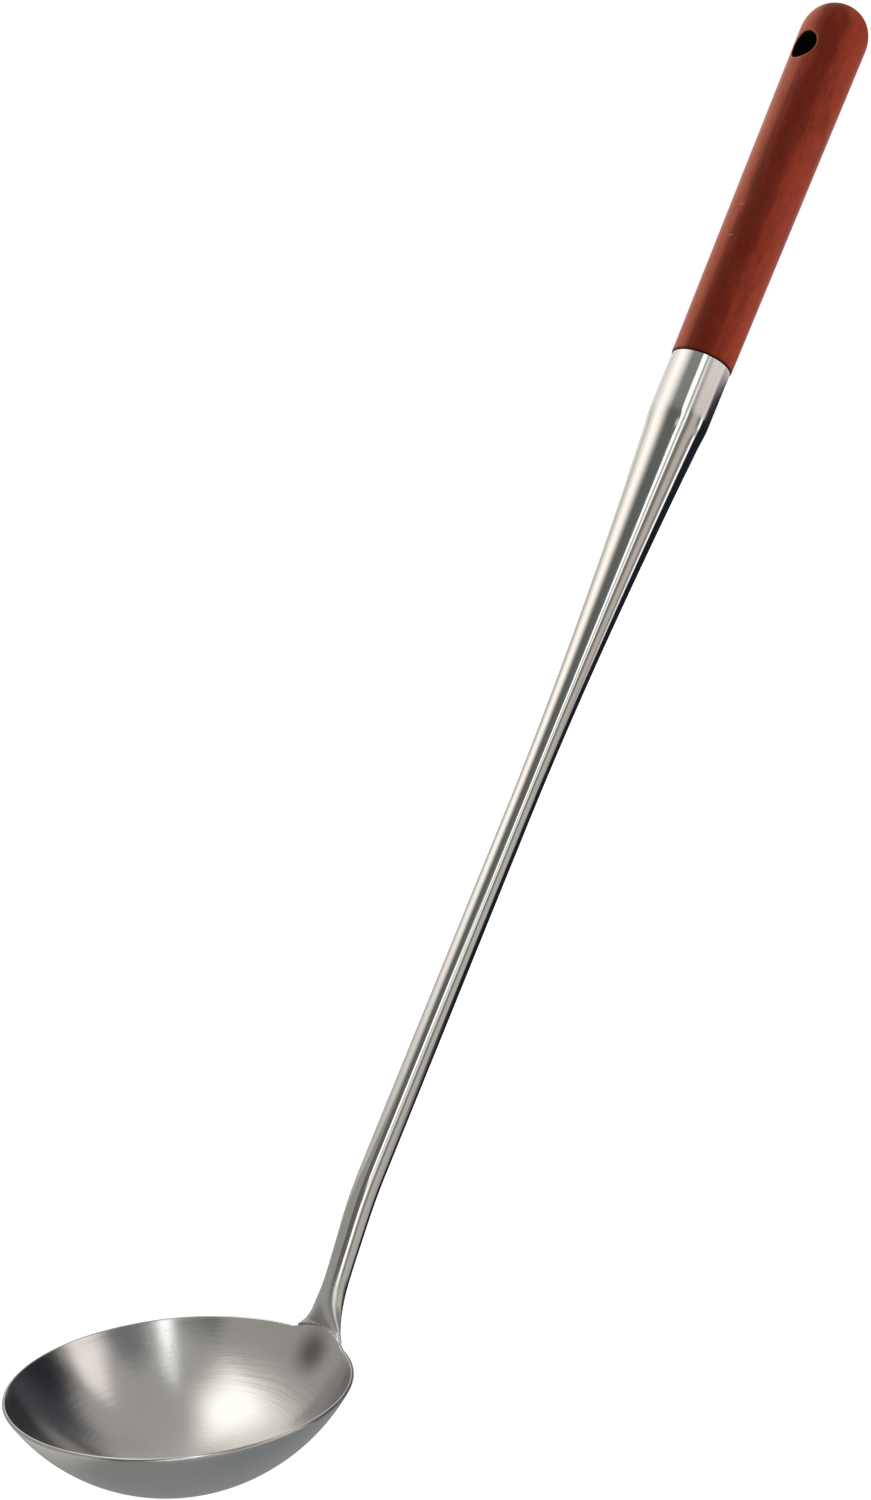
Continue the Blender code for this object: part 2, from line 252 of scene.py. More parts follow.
class GripSettings(bpy.types.PropertyGroup):
    """The turned wooden grip"""

    grip_length: length("Length", "From the socket's mouth to the domed end", 149.3 * MM)
    joint_radius: length("Joint radius", "Radius where the wood meets the steel", 11.45 * MM)
    end_radius: length("End radius", "Radius where the dome begins", 12.8 * MM)
    dome_length: length("Dome length", "Length of the domed end", 13.6 * MM)
    dome_power: number("Dome power", "2 is an ellipse, more is squarer", 2.2)
    tenon_radius: length("Tenon radius", "Radius of the tenon in the socket", 9.55 * MM)
    tenon_length: length("Tenon length", "Length of the tenon", 24.0 * MM)
    edge_round: length("Edge round", "Rounding of the turned edges", 0.5 * MM)
    seat_gap: length("Seat gap", "Gap between the wood and the socket's mouth", 0.2 * MM)
    hole_radius: length("Hole radius", "Radius of the hanging hole", 5.5 * MM)
    hole_from_end: length("Hole from end", "From the domed end to the hole's axis", 23.0 * MM)
    hole_mouth: length("Hole mouth", "Rounding of the hole's edge", 0.9 * MM)
    light_wood: colour("Light wood", "Colour of the paler grain", (0.44, 0.056, 0.023))
    dark_wood: colour("Dark wood", "Colour of the darker grain", (0.23, 0.027, 0.011))


class StageSettings(bpy.types.PropertyGroup):
    """Floor, light and camera"""

    floor: colour("Floor", "Colour of the floor", (0.55, 0.55, 0.55))
    floor_glow: share("Floor glow", "Light that the floor gives off, which keeps its shadow faint", 1.6)
    floor_size: length("Floor size", "Side of the square floor", 12.0)
    key_strength: number("Key strength", "Strength of the soft key light", 1.3)
    key_angle: angle("Key angle", "How wide the key light spreads", 60.0)
    lens: FloatProperty(name="Lens", description="Focal length in millimetres", default=57.6, unit="CAMERA")
    camera_place: FloatVectorProperty(
        name="Camera place",
        description="Where the camera stands",
        default=(-0.49403, -0.64238, 0.34157),
        subtype="TRANSLATION",
        unit="LENGTH",
    )
    camera_turn: FloatVectorProperty(
        name="Camera turn",
        description="How the camera is turned",
        default=tuple(math.radians(degrees) for degrees in (81.50716, 2.71512, -36.79739)),
        subtype="EULER",
        unit="ROTATION",
    )


class LadleSettings(bpy.types.PropertyGroup):
    """All settings of the ladle"""

    bowl: PointerProperty(type=BowlSettings, name="Bowl", description="Settings of the bowl")
    shaft: PointerProperty(type=ShaftSettings, name="Shaft", description="Settings of the tube")
    weld: PointerProperty(type=WeldSettings, name="Weld", description="Settings of the weld")
    grip: PointerProperty(type=GripSettings, name="Grip", description="Settings of the grip")
    stage: PointerProperty(type=StageSettings, name="Stage", description="Settings of the stage")


# Shapes


def steps(count):
    """Even fractions from 0 to 1, both ends included."""
    return [i / count for i in range(count + 1)]


def clamp(t):
    return min(1.0, max(0.0, t))


def smooth(t):
    t = clamp(t)
    return t * t * (3 - 2 * t)


def lerp(start, end, t):
    return start + (end - start) * t


def hermite(start, end, start_slope, end_slope, span, t):
    """Cubic between two radii with given slopes at its ends; t runs from 0 to 1."""
    return (
        start * (2 * t**3 - 3 * t**2 + 1)
        + start_slope * span * (t**3 - 2 * t**2 + t)
        + end * (3 * t**2 - 2 * t**3)
        + end_slope * span * (t**3 - t**2)
    )


def only(kind, geometry):
    return [part for part in geometry if isinstance(part, kind)]


def finish_piece(bm, node, material):
    """Close the mesh, shade it, and let it stand for its CAD node."""
    bmesh.ops.remove_doubles(bm, verts=bm.verts, dist=MERGE_DISTANCE)
    bmesh.ops.recalc_face_normals(bm, faces=bm.faces)
    name = "ladle_" + node
    mesh = bpy.data.meshes.new(name)
    bm.to_mesh(mesh)
    bm.free()
    mesh.shade_smooth()
    mesh.set_sharp_from_angle(angle=SHARP_ANGLE)
    mesh.materials.append(material)
    piece = bpy.data.objects.new(name, mesh)
    bpy.context.scene.collection.objects.link(piece)
    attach(piece, "root")
    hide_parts(node)
    return piece


def sweep(sections, sides, place):
    """Extrude a ring through the sections; place(section, turn) gives a point of the ring."""
    bm = bmesh.new()
    around = bm.verts.layers.float.new("around")
    ring = bmesh.ops.create_circle(bm, segments=sides, radius=1.0)["verts"]
    edges = list(bm.edges)
    for vert in ring:
        vert[around] = math.atan2(vert.co.y, vert.co.x)
        vert.co = place(sections[0], vert[around])
    for section in sections[1:]:
        grown = bmesh.ops.extrude_edge_only(bm, edges=edges)["geom"]
        edges = [edge for edge in only(bmesh.types.BMEdge, grown) if edge.is_boundary]
        for vert in only(bmesh.types.BMVert, grown):
            vert.co = place(section, vert[around])
    bmesh.ops.remove_doubles(bm, verts=bm.verts, dist=MERGE_DISTANCE)
    bmesh.ops.holes_fill(bm, edges=bm.edges)
    return bm


def turned(profile, sides):
    """Spin a profile of (radius, height) points once round the Z axis."""
    bm = bmesh.new()
    verts = [bm.verts.new((radius, 0.0, height)) for radius, height in profile]
    edges = [bm.edges.new(pair) for pair in zip(verts, verts[1:])]
    bmesh.ops.spin(
        bm,
        geom=verts + edges,
        cent=(0, 0, 0),
        axis=(0, 0, 1),
        angle=math.tau,
        steps=sides,
        use_merge=True,
    )
    bmesh.ops.remove_doubles(bm, verts=bm.verts, dist=MERGE_DISTANCE)
    bmesh.ops.recalc_face_normals(bm, faces=bm.faces)
    return bm


def rim_centre(bowl):
    """Centre of the rim's plane; the tongue is the bowl's highest point."""
    return Vector((BOWL_LOW.x + bowl.rim_radius, 0.0, BOWL_HIGH.z - bowl.tongue_height))


def tongue_rise(bowl, y):
    """Height of the tongue above the rim at a distance y from the symmetry plane."""
    return bowl.tongue_height * max(0.0, 1 - (y / bowl.tongue_half_width) ** 2)


def build_bowl(bowl):
    """Spin a point up the outer wall, over the lip and down the inner wall, then spin that line round."""
    half_sheet = bowl.sheet / 2
    rim = rim_centre(bowl)
    depth = rim.z - BOWL_LOW.z
    lip_radius = bowl.rim_radius - half_sheet
    rise = (lip_radius**2 + half_sheet**2 - (depth - half_sheet) ** 2) / (2 * (depth - bowl.sheet))
    centre = rim + Vector((0, 0, rise))
    lip = rim + Vector((lip_radius, 0, -half_sheet))
    wall_turn = math.atan2(lip_radius, rise + half_sheet)
    bm = bmesh.new()
    tip = [bm.verts.new(rim - Vector((0, 0, depth)))]
    for pivot, turn, count in (
        (centre, -wall_turn, BOWL_ROWS),
        (lip, -math.pi, LIP_STEPS),
        (centre, wall_turn, BOWL_ROWS),
    ):
        spun = bmesh.ops.spin(bm, geom=tip, cent=pivot, axis=(0, 1, 0), angle=turn, steps=count)
        tip = only(bmesh.types.BMVert, spun["geom_last"])
    bmesh.ops.spin(
        bm,
        geom=bm.verts[:] + bm.edges[:],
        cent=rim,
        axis=(0, 0, 1),
        angle=math.tau,
        steps=BOWL_STEPS,
        use_merge=True,
    )
    wrap_bowl(bm, centre)
    for vert in bm.verts:
        if vert.co.x > rim.x:
            lifted = smooth(1 + (vert.co.z - rim.z + half_sheet) / bowl.tongue_blend)
            lift = lifted * tongue_rise(bowl, vert.co.y)
            vert.co += Vector((bowl.tongue_lean * lift, 0, lift))
    return bm


def wrap_bowl(bm, centre):
    """A UV map whose U turns about the bowl's axis and whose V climbs its wall."""
    layer = bm.loops.layers.uv.new("wrap")
    for face in bm.faces:
        middle = face.calc_center_median() - centre
        face_turn = math.atan2(middle.y, middle.x) / math.tau
        for loop in face.loops:
            reach = loop.vert.co - centre
            turn = math.atan2(reach.y, reach.x) / math.tau
            climb = math.atan2(reach.xy.length, -reach.z) / math.pi
            loop[layer].uv = (turn - round(turn - face_turn), climb)


def tube_axis(bowl, tube, distance):
    """Point and slope of the tube's axis at a distance from the foot point, measured along the axis."""
    turn = tube.neck_angle - tube.handle_angle
    neck = tube.neck_length - tube.bend_radius * math.tan(turn / 2)
    along = Vector((math.cos(tube.neck_angle), 0, math.sin(tube.neck_angle)))
    start = rim_centre(bowl) + Vector((tube.foot_x, 0, tube.foot_z))
    if distance <= neck:
        return start + along * distance, tube.neck_angle
    centre = start + along * neck + Vector((along.z, 0, -along.x)) * tube.bend_radius
    slope = tube.neck_angle - min(turn, (distance - neck) / tube.bend_radius)
    point = centre + Vector((-math.sin(slope), 0, math.cos(slope))) * tube.bend_radius
    beyond = max(0.0, distance - neck - tube.bend_radius * turn)
    return point + Vector((math.cos(slope), 0, math.sin(slope))) * beyond, slope


def tube_end(tube):
    """Distance along the axis from the foot point to the socket's mouth."""
    turn = tube.neck_angle - tube.handle_angle
    corner = 2 * tube.bend_radius * math.tan(turn / 2)
    return tube.neck_length + tube.handle_length - corner + tube.bend_radius * turn


def tube_marks(tube):
    """Distances where the cone, the shoulder, the socket and the wood begin."""
    end = tube_end(tube)
    socket = end - tube.socket_length
    shoulder = socket - tube.shoulder_length
    return shoulder - tube.cone_length, shoulder, socket, end


def round_radius(tube, distance):
    """Radius of the round part of the tube."""
    cone, shoulder, socket, _ = tube_marks(tube)
    if distance >= socket:
        return tube.socket_radius
    if distance >= shoulder:
        span = tube.shoulder_length
        t = (distance - shoulder) / span
        return hermite(tube.cone_top_radius, tube.socket_radius, tube.cone_top_slope, 0, span, t)
    if distance >= cone:
        span = tube.cone_length
        t = (distance - cone) / span
        return hermite(tube.rod_radius, tube.cone_top_radius, 0, tube.cone_top_slope, span, t)
    grown = smooth((distance - tube.neck_start) / (tube.neck_end - tube.neck_start))
    return lerp(tube.neck_radius, tube.rod_radius, grown)


def tube_point(bowl, tube, distance, inset, turn):
    """A point of the tube's skin. Near the rim the tube is flattened, fans out and curls round the bowl."""
    point, slope = tube_axis(bowl, tube, distance)
    out = Vector((math.sin(slope), 0, -math.cos(slope)))
    radius = round_radius(tube, distance)
    rim = -tube.foot_z / math.sin(tube.neck_angle)
    fan = max(0.0, 1 - (distance - rim) / tube.fan_length) ** tube.fan_power
    pressed = 1 - math.sin(clamp(distance / tube.flatten_length) * math.pi / 2)
    width = radius + (tube.foot_half_width - tube.neck_radius) * fan - inset
    loss = (tube.neck_radius - tube.foot_half_thickness) * pressed
    y = width * math.cos(turn)
    across = (radius - loss - inset) * math.sin(turn) + tube.foot_set_back * loss
    curl = clamp(1 - distance / tube.curl_length) ** 2
    follow = bowl.rim_radius - math.sqrt(bowl.rim_radius**2 - y**2)
    return point + Vector((0, y, 0)) + out * (across - curl * follow)


def foot_edge(bowl, tube, weld, turn):
    """Distance at which the foot ends over the weld, found by stepping towards the weld's top."""
    distance = 0.0
    for _ in range(FOOT_EDGE_ROUNDS):
        point = tube_point(bowl, tube, distance, 0.0, turn)
        seam = tongue_rise(bowl, point.y) + weld_height(weld, point.y) + 2 * weld.seat_gap
        distance += (rim_centre(bowl).z + seam - point.z) / math.sin(tube.neck_angle)
    return distance


def build_shaft(bowl, tube, weld):
    """A hollow tube drawn up from the foot's edge to the socket's mouth, and back down its bore."""
    cone, shoulder, socket, end = tube_marks(tube)
    stretches = (
        (tube.bore_end, tube.neck_end, NECK_ROWS),
        (tube.neck_end, cone, ROD_ROWS),
        (cone, shoulder, CONE_ROWS),
        (shoulder, socket, SHOULDER_ROWS),
        (socket, end - tube.socket_edge, SOCKET_ROWS),
    )
    stations = sorted({lerp(low, high, t) for low, high, count in stretches for t in steps(count)})
    edges = {}

    def place(section, turn):
        kind, value, inset = section
        if kind == "station":
            return tube_point(bowl, tube, value, inset, turn)
        if turn not in edges:
            edges[turn] = foot_edge(bowl, tube, weld, turn)
        point = tube_point(bowl, tube, lerp(edges[turn], tube.bore_end, value), inset, turn)
        if kind == "shut":
            return (point + tube_point(bowl, tube, edges[turn], inset, -turn)) / 2
        return point

    shut = [("shut", 0.0, 0.0)]
    foot = [("foot", t, 0.0) for t in steps(FOOT_SECTIONS)[:-1]]
    outside = [("station", distance, 0.0) for distance in stations]
    mouth = [("station", end, inset) for inset in (tube.socket_edge, tube.wall)]
    inside = [("station", distance, tube.wall) for distance in reversed(stations)]
    return sweep(shut + foot + outside + mouth + inside, TUBE_SIDES, place)


def weld_height(weld, y):
    """Height of the seam at a distance y from the symmetry plane."""
    return lerp(weld.height, weld.end_height, min(1.0, abs(y) / weld.half_width) ** 2)


def square_round(wave):
    """A sine or cosine made fuller, so that a ring of them is a rounded square."""
    return math.copysign(math.sqrt(abs(wave)), wave)


def build_weld(bowl, weld):
    """A bar along the tongue's edge that widens to the foot above it, rippled by grinding."""

    def place(section, turn):
        y = weld.half_width * (2 * section - 1)
        height = weld_height(weld, y)
        middle = tongue_rise(bowl, y) + weld.seat_gap + height / 2
        run = square_round(math.cos(turn))
        lift = square_round(math.sin(turn))
        end = (2 * section - 1) ** 2
        upper = (1 + lift) / 2
        thickness = lerp(weld.root, lerp(weld.half_thickness, weld.end_half_thickness, end), upper)
        wall = math.sqrt((bowl.rim_radius - bowl.sheet / 2) ** 2 - y**2) + bowl.tongue_lean * middle
        wall += weld.set_back * (1 - end) * upper
        reach = height / 2 + 1.5 * weld.seat_gap
        point = rim_centre(bowl) + Vector((wall + thickness * run, y, middle + reach * lift))
        mark = sum(strength * noise.noise(point / size) for size, strength in WELD_MARKS)
        return point + Vector((run, 0, lift)) * weld.ripple * mark

    return sweep(steps(WELD_SECTIONS), WELD_SIDES, place)


def grip_profile(grip):
    """Radius and height of the grip from its tenon to its domed end; height 0 is the socket's mouth."""
    body_end = grip.grip_length - grip.dome_length
    body_start = grip.seat_gap + grip.edge_round
    profile = [
        (0.0, -grip.tenon_length),
        (grip.tenon_radius - grip.edge_round, -grip.tenon_length),
        (grip.tenon_radius, grip.edge_round - grip.tenon_length),
        (grip.tenon_radius, grip.seat_gap),
    ]
    for t in steps(EDGE_STEPS):
        a = t * math.pi / 2
        radius = grip.joint_radius - grip.edge_round * (1 - math.sin(a))
        profile.append((radius, body_start - grip.edge_round * math.cos(a)))
    for t in steps(GRIP_ROWS)[1:-1]:
        profile.append((lerp(grip.joint_radius, grip.end_radius, t), lerp(body_start, body_end, t)))
    for t in steps(DOME_ROWS)[:-1]:
        a = t * math.pi / 2
        radius = grip.end_radius * math.cos(a) ** (2 / grip.dome_power)
        profile.append((radius, body_end + grip.dome_length * math.sin(a) ** (2 / grip.dome_power)))
    return profile + [(0.0, grip.grip_length)]


def hole_drill(grip):
    """A drill along X whose flared ends follow the grip's round side and round the hole's edge."""
    mouth = grip.hole_mouth
    flare = [(grip.hole_radius + mouth, grip.end_radius + 4 * mouth)]
    for t in steps(EDGE_STEPS):
        a = t * math.pi / 2
        radius = grip.hole_radius + mouth * (1 - math.sin(a))
        flare.append((radius, grip.end_radius - mouth * (1 - math.cos(a))))
    far = [(radius, -height) for radius, height in reversed(flare)]
    drill = turned([(0.0, flare[0][1])] + flare + far + [(0.0, far[-1][1])], HOLE_SIDES)
    bmesh.ops.rotate(drill, verts=drill.verts, matrix=Matrix.Rotation(math.pi / 2, 3, "Y"))
    for vert in drill.verts:
        fall = grip.end_radius - math.sqrt(grip.end_radius**2 - vert.co.y**2)
        vert.co.x -= math.copysign(fall, vert.co.x)
    up = Vector((0, 0, grip.grip_length - grip.hole_from_end))
    bmesh.ops.translate(drill, verts=drill.verts, vec=up)
    return drill


def guide(bm, name):
    """An object that is only needed while a piece is made."""
    mesh = bpy.data.meshes.new(name)
    bm.to_mesh(mesh)
    bm.free()
    obj = bpy.data.objects.new(name, mesh)
    bpy.context.scene.collection.objects.link(obj)
    return obj


def build_grip(bowl, tube, grip):
    """Turn the grip, drill the hanging hole through it, and lay it along the handle."""
    blank = guide(turned(grip_profile(grip), GRIP_SIDES), "grip_blank")
    drill = guide(hole_drill(grip), "hole_drill")
    boolean = blank.modifiers.new("Hanging hole", "BOOLEAN")
    boolean.operation = "DIFFERENCE"
    boolean.object = drill
    depsgraph = bpy.context.evaluated_depsgraph_get()
    drilled = bpy.data.meshes.new_from_object(blank.evaluated_get(depsgraph))
    bm = bmesh.new()
    bm.from_mesh(drilled)
    point, slope = tube_axis(bowl, tube, tube_end(tube))
    placed = Matrix.Translation(point) @ Matrix.Rotation(math.pi / 2 - slope, 4, "Y")
    bmesh.ops.transform(bm, matrix=placed, verts=bm.verts)
    for helper in (blank, drill):
        bpy.data.objects.remove(helper, do_unlink=True)
    bpy.data.meshes.remove(drilled)
    return bm


# Finishes


def feed(tree, socket, value):
    """Link a socket to another node's output, or set its value."""
    if isinstance(value, bpy.types.NodeSocket):
        tree.links.new(value, socket)
    else:
        socket.default_value = value


def add(tree, kind, sockets=None, **settings):
    """Add a node, and link or set its input sockets, given by name or place."""
    node = tree.nodes.new(kind)
    for name, value in settings.items():
        setattr(node, name, value)
    for key, value in (sockets or {}).items():
        feed(tree, node.inputs[key], value)
    return node


def maths(tree, operation, *values):
    return add(tree, "ShaderNodeMath", dict(enumerate(values)), operation=operation).outputs[0]


def vectors(tree, operation, *values):
    """The result of a vector operation; a dot product or a length is its second output."""
    node = add(tree, "ShaderNodeVectorMath", dict(enumerate(values)), operation=operation)
    return node.outputs["Value" if operation in {"DOT_PRODUCT", "LENGTH", "DISTANCE"} else "Vector"]


def mix(tree, factor, first, second):
    return add(tree, "ShaderNodeMix", {0: factor, 6: first, 7: second}, data_type="RGBA").outputs[2]


def remap(tree, value, low, high, start=0.0, end=1.0, smoothly=False):
    """Values from low to high become values from start to end, and stay there beyond."""
    sockets = {"Value": value, "From Min": low, "From Max": high, "To Min": start, "To Max": end}
    kind = "SMOOTHSTEP" if smoothly else "LINEAR"
    return add(tree, "ShaderNodeMapRange", sockets, interpolation_type=kind).outputs["Result"]


def texture(tree, vector, scale, detail=2.0, roughness=0.5):
    sockets = {"Vector": vector, "Scale": scale, "Detail": detail, "Roughness": roughness}
    return add(tree, "ShaderNodeTexNoise", sockets).outputs["Fac"]


def object_place(tree):
    return add(tree, "ShaderNodeTexCoord").outputs["Object"]


def height_of(tree, place):
    return add(tree, "ShaderNodeSeparateXYZ", {"Vector": place}).outputs["Z"]


def solid(colour_parts):
    """A colour that nothing shows through."""
    return (*colour_parts, 1.0)


def shared_group(name, inputs, outputs, fill):
    """A shader group that is built once; fill(tree, given) returns the output sockets by name."""
    if name in bpy.data.node_groups:
        return bpy.data.node_groups[name]
    tree = bpy.data.node_groups.new(name, "ShaderNodeTree")
    for in_out, sockets in (("INPUT", inputs), ("OUTPUT", outputs)):
        for socket, kind in sockets.items():
            tree.interface.new_socket(socket, in_out=in_out, socket_type="NodeSocket" + kind)
    made = fill(tree, add(tree, "NodeGroupInput").outputs)
    add(tree, "NodeGroupOutput", made)
    return tree


def use(tree, group, **sockets):
    """Place a group in a tree, and give its outputs."""
    return add(tree, "ShaderNodeGroup", sockets, node_tree=group).outputs


def brushing():
    """Fine lines and broader bands of a brushed surface, stretched along one axis of the vector."""

    def fill(tree, given):
        broad = vectors(tree, "MULTIPLY", given["Vector"], (0.2, 0.2, 0.2))
        lines = texture(tree, given["Vector"], 1.0, 3.0, 0.6)
        bands = texture(tree, broad, 1.0, 2.0)
        height = maths(tree, "MULTIPLY_ADD", bands, 2.0, lines)
        return {"Lines": lines, "Height": height}

    return shared_group("brushing", {"Vector": "Vector"}, {"Lines": "Float", "Height": "Float"}, fill)


def handling():
    """Marks of use: slow haze over the surface, and a few thin scratches in two directions."""

    def fill(tree, given):
        haze = texture(tree, given["Vector"], HAZE, 3.0)
        patches = remap(tree, texture(tree, given["Vector"], SCRATCHED_PATCHES, 1.0), 0.45, 0.65)
        marks = None
        for turn in ((0.3, 0.2, 0.5), (1.1, 0.4, 2.2)):
            sockets = {"Vector": given["Vector"], "Rotation": turn, "Scale": SCRATCH_LINES}
            turned_vector = add(tree, "ShaderNodeMapping", sockets).outputs["Vector"]
            mark = remap(tree, texture(tree, turned_vector, 1.0, 0.0), given["Rarity"], 0.9)
            marks = mark if marks is None else maths(tree, "MAXIMUM", marks, mark)
        return {"Haze": haze, "Scratches": maths(tree, "MULTIPLY", marks, patches)}

    return shared_group(
        "handling", {"Vector": "Vector", "Rarity": "Float"}, {"Haze": "Float", "Scratches": "Float"}, fill
    )


def new_material(name):
    material = bpy.data.materials.new(name)
    material.use_nodes = True
    return material, material.node_tree, material.node_tree.nodes["Principled BSDF"]


def set_shader(tree, shader, **sockets):
    """Link or set the shader's sockets; underscores in a name stand for spaces."""
    for key, value in sockets.items():
        feed(tree, shader.inputs[key.replace("_", " ")], value)


def bump(tree, height, distance):
    return add(tree, "ShaderNodeBump", {"Height": height, "Distance": distance}).outputs["Normal"]


def counted_from(tree, point, turn=0.0):
    """Object coordinates counted from a point and turned about the Y axis."""
    sockets = {"Vector": object_place(tree), "Location": point, "Rotation": (0.0, turn, 0.0)}
    return add(tree, "ShaderNodeMapping", sockets, vector_type="TEXTURE").outputs["Vector"]


def along_handle(tree, bowl, tube):
    """Object coordinates turned so that their Z axis runs up the handle from the socket's mouth."""
    point, slope = tube_axis(bowl, tube, tube_end(tube))
    return counted_from(tree, point, math.pi / 2 - slope)


def near(tree, place, point, reach):
    """1 close to a point, fading to 0 at the end of its reach."""
    return remap(tree, vectors(tree, "DISTANCE", place, point), *reach, 1.0, 0.0, smoothly=True)


def worn(tree, lines, marks):
    """How worn a surface is, by its fine lines and the haze of handling."""
    return maths(tree, "MULTIPLY_ADD", lines["Lines"], 0.5, marks["Haze"])


def shaded(tree, tone, shade):
    """A colour made darker by a factor."""
    sockets = {0: tone, "Scale": shade}
    return add(tree, "ShaderNodeVectorMath", sockets, operation="SCALE").outputs["Vector"]


def painted_glints(tree, limits):
    """Painted glints: small white spots scattered through the piece."""
    return remap(tree, texture(tree, object_place(tree), GLINT_WAVES, 1.0), *limits)


def rings(tree, around, turns, climb):
    """Texture coordinates that run round the bowl and climb its wall."""
    up = add(tree, "ShaderNodeCombineXYZ", {"Z": climb}).outputs[0]
    return vectors(tree, "ADD", vectors(tree, "MULTIPLY", around, turns), up)


def bowl_finish(bowl):
    """Satin steel, brushed round the bowl, dashed on its worn side and darkened by painted shade below the
    foot.
    """
    material, tree, shader = new_material("satin_bowl_steel")
    place = counted_from(tree, rim_centre(bowl))
    flat = vectors(tree, "MULTIPLY", place, (1.0, 1.0, 0.0))
    around = vectors(tree, "NORMALIZE", flat)
    wall = maths(tree, "ADD", vectors(tree, "LENGTH", flat), height_of(tree, place))
    climb = maths(tree, "MULTIPLY", wall, BOWL_LINES)
    brushed = use(tree, brushing(), Vector=rings(tree, around, LINE_TURNS, climb))
    marks = use(tree, handling(), Vector=place, Rarity=0.7)
    dash_rings = rings(tree, around, DASH_TURNS, maths(tree, "MULTIPLY", climb, DASH_CLIMB))
    dashes = remap(tree, texture(tree, dash_rings, 1.0, 0.0), *DASH_RANGE)
    dashes = maths(tree, "MULTIPLY", dashes, near(tree, place, WORN_PLACE, WORN_REACH))
    wear = worn(tree, brushed, marks)
    satin = remap(tree, wear, *WEAR, *SATIN_ROUGHNESS)
    # Painted shade below the foot darkens the steel there
    foot_shade = near(tree, place, FOOT_SHADE_PLACE, FOOT_SHADE_REACH)
    steel_with_foot_shade = mix(tree, foot_shade, solid(bowl.steel), solid(FOOT_SHADE_COLOUR))
    relief = maths(tree, "MULTIPLY_ADD", dashes, DASH_HEIGHT, brushed["Height"])
    tangent = add(tree, "ShaderNodeTangent", direction_type="UV_MAP", uv_map="wrap").outputs["Tangent"]
    set_shader(
        tree,
        shader,
        Base_Color=shaded(tree, steel_with_foot_shade, remap(tree, wear, *WEAR, *SATIN_SHADE)),
        Metallic=1.0,
        Roughness=maths(tree, "MULTIPLY_ADD", dashes, DASH_ROUGHNESS, satin),
        Anisotropic=0.5,
        Anisotropic_Rotation=0.25,
        Tangent=tangent,
        Normal=bump(tree, relief, BOWL_RELIEF),
    )
    return material


def shaft_finish(bowl, tube):
    """Polished steel with faint lengthwise lines, duller on the ground foot, with painted glints at its
    edge.
    """
    material, tree, shader = new_material("polished_shaft_steel")
    place = along_handle(tree, bowl, tube)
    brushed = use(tree, brushing(), Vector=vectors(tree, "MULTIPLY", place, SHAFT_LINES))
    marks = use(tree, handling(), Vector=place, Rarity=0.74)
    above_foot = maths(tree, "ADD", height_of(tree, place), tube_end(tube))
    ground = remap(tree, above_foot, *GROUND_REACH, GROUND_ROUGHNESS, 0.0, smoothly=True)
    wear = worn(tree, brushed, marks)
    polish = remap(tree, wear, *WEAR, *POLISHED_ROUGHNESS)
    steel = shaded(tree, tuple(tube.steel), remap(tree, wear, *WEAR, *POLISHED_SHADE))
    # Painted glints: white spots along the lowest edge of the foot
    at_edge = remap(tree, height_of(tree, object_place(tree)), *FOOT_GLINT_HEIGHTS, 1.0, 0.0)
    glints = maths(tree, "MULTIPLY", painted_glints(tree, GLINTS_ON_FOOT), at_edge)
    relief = maths(tree, "MULTIPLY_ADD", marks["Scratches"], -2.0, brushed["Height"])
    set_shader(
        tree,
        shader,
        Base_Color=mix(tree, glints, steel, solid(PAINTED_GLINT_COLOUR)),
        Metallic=maths(tree, "SUBTRACT", 1.0, glints),
        Roughness=maths(tree, "ADD", polish, ground),
        Normal=bump(tree, relief, SHAFT_RELIEF),
    )
    return material


def weld_finish(weld):
    """Bright ground weld metal, with painted glints for its sparkle."""
    material, tree, shader = new_material("ground_weld_steel")
    grit = texture(tree, object_place(tree), WELD_GRIT, 3.0)
    # Painted glints: white spots on the weld
    glints = painted_glints(tree, GLINTS_ON_WELD)
    metal = mix(tree, grit, solid(0.7 * part for part in weld.steel), solid(weld.steel))
    set_shader(
        tree,
        shader,
        Base_Color=mix(tree, glints, metal, solid(PAINTED_GLINT_COLOUR)),
        Metallic=maths(tree, "MULTIPLY_ADD", glints, -0.5, 0.6),
        Roughness=remap(tree, grit, 0.3, 0.7, 0.2, 0.45),
        Normal=bump(tree, grit, WELD_RELIEF),
    )
    return material


def wood_tone(tree, place, fibres):
    """Paler and darker wood: slow figure, mottle and fine fibres, with painted shade darkening one side."""
    figure = texture(tree, vectors(tree, "MULTIPLY", place, WOOD_FIGURE), 1.0, 4.0, 0.55)
    mottle = texture(tree, vectors(tree, "MULTIPLY", place, WOOD_MOTTLE), 1.0, 3.0, 0.6)
    tone = maths(tree, "MULTIPLY_ADD", mottle, 0.7, figure)
    tone = maths(tree, "MULTIPLY_ADD", fibres["Lines"], 0.3, tone)
    # Painted shade: the wood is darker on one side of the grip
    return maths(tree, "MULTIPLY_ADD", side_of_grip(tree, place, PAINTED_SHADE_SIDE, 0.85, 0.98), -0.32, tone)


def side_of_grip(tree, place, side, low, high):
    """1 on the side of the grip that faces this way, 0 elsewhere."""
    around = vectors(tree, "NORMALIZE", vectors(tree, "MULTIPLY", place, (1.0, 1.0, 0.0)))
    return remap(tree, vectors(tree, "DOT_PRODUCT", around, side), low, high, smoothly=True)


